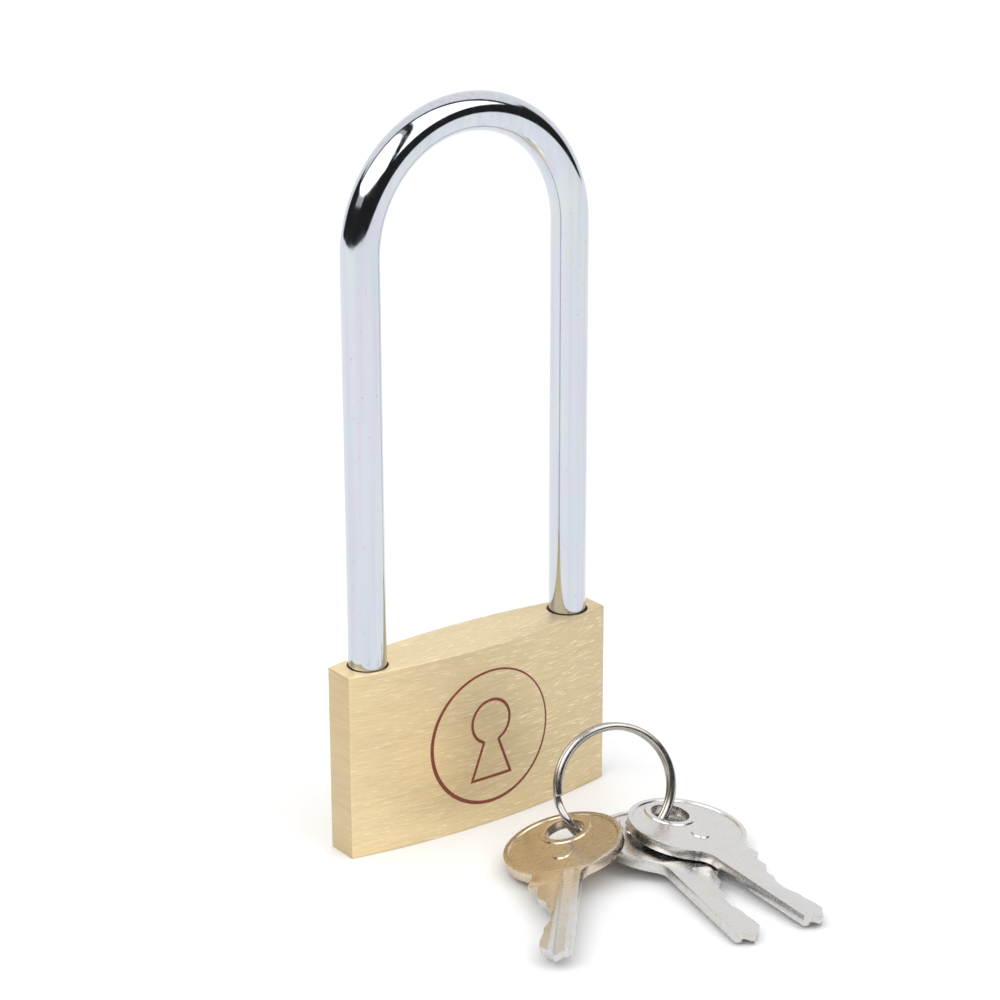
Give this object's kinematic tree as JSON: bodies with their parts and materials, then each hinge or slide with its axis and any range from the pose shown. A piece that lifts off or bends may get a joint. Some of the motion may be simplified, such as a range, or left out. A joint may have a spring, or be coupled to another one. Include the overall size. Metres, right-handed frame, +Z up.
{
  "type": "padlock",
  "caption": "Brass padlock with a long round shackle, a pin-tumbler plug in its bottom face, and its keys on a split ring.",
  "frame": {"origin": "centre of the case's bottom face", "axes": "+X towards the shackle's toe leg, -Y out of the marked front face, +Z up through the shackle's bow"},
  "size_m": [0.053, 0.0689, 0.1172],
  "materials": {
    "case_brass": "brushed satin brass",
    "mark_paint": "matt red-brown paint fill",
    "shackle_plating": "bright zinc plating",
    "plug_brass": "machined brass",
    "brass_internal": "machined brass",
    "bolt_steel": "turned steel",
    "spring_steel": "drawn wire",
    "ring_steel": "bright nickel plating",
    "key_nickel": "worn nickel plating"
  },
  "bodies": {
    "case": {"case": "case_brass", "engraved_mark_paint": "mark_paint", "bolt_spring": "spring_steel", "bolt_bore_plug": "brass_internal", "shackle_spring": "spring_steel", "heel_pin": "bolt_steel", "plug_pin": "bolt_steel", "driver_pin_1": "brass_internal", "pin_spring_1": "spring_steel", "chamber_plug_1": "brass_internal", "driver_pin_2": "brass_internal", "pin_spring_2": "spring_steel", "chamber_plug_2": "brass_internal", "driver_pin_3": "brass_internal", "pin_spring_3": "spring_steel", "chamber_plug_3": "brass_internal", "driver_pin_4": "brass_internal", "pin_spring_4": "spring_steel", "chamber_plug_4": "brass_internal", "driver_pin_5": "brass_internal", "pin_spring_5": "spring_steel", "chamber_plug_5": "brass_internal"},
    "shackle": {"shackle": "shackle_plating"},
    "plug": {"plug": "plug_brass", "key_pin_1": "brass_internal", "key_pin_2": "brass_internal", "key_pin_3": "brass_internal", "key_pin_4": "brass_internal", "key_pin_5": "brass_internal"},
    "bolt": {"locking_bolt": "bolt_steel"},
    "ring": {"split_ring": "ring_steel"},
    "key_1": {"key_1": "key_nickel"},
    "key_2": {"key_2": "key_nickel"},
    "key_3": {"key_3": "key_nickel"}
  },
  "joints": [
    {"name": "shackle_lift", "type": "slide", "parent": "case", "child": "shackle", "axis": [0, 0, 1], "range_m": [0, 0.0125], "deforming": ["shackle_spring"]},
    {"name": "plug_turn", "type": "hinge", "parent": "case", "child": "plug", "pos_m": [0, 0, 0], "axis": [0, 0, 1], "range_deg": [-90, 0]},
    {"name": "bolt_slide", "type": "slide", "parent": "case", "child": "bolt", "axis": [1, 0, 0], "range_m": [0, 0.00255]},
    {"name": "ring_slide", "type": "slide", "parent": "case", "child": "ring", "axis": [0, -1, 0], "range_m": [0, 0.06]},
    {"name": "key_1_swing", "type": "hinge", "parent": "ring", "child": "key_1", "pos_m": [0.00336, -0.02227, 0.00455], "axis": [0, 0, 1], "range_deg": [-15, 0]},
    {"name": "key_2_swing", "type": "hinge", "parent": "ring", "child": "key_2", "pos_m": [0.0154, -0.02707, 0.0024], "axis": [0, 0, 1], "range_deg": [-4, 0]},
    {"name": "key_3_swing", "type": "hinge", "parent": "ring", "child": "key_3", "pos_m": [0.01751, -0.02711, 0.00415], "axis": [0, 0, 1], "range_deg": [0, 20]}
  ],
  "couplings": [
    {"joint": "bolt_slide", "follows": "plug_turn", "m_per_rad": -0.0016206}
  ]
}
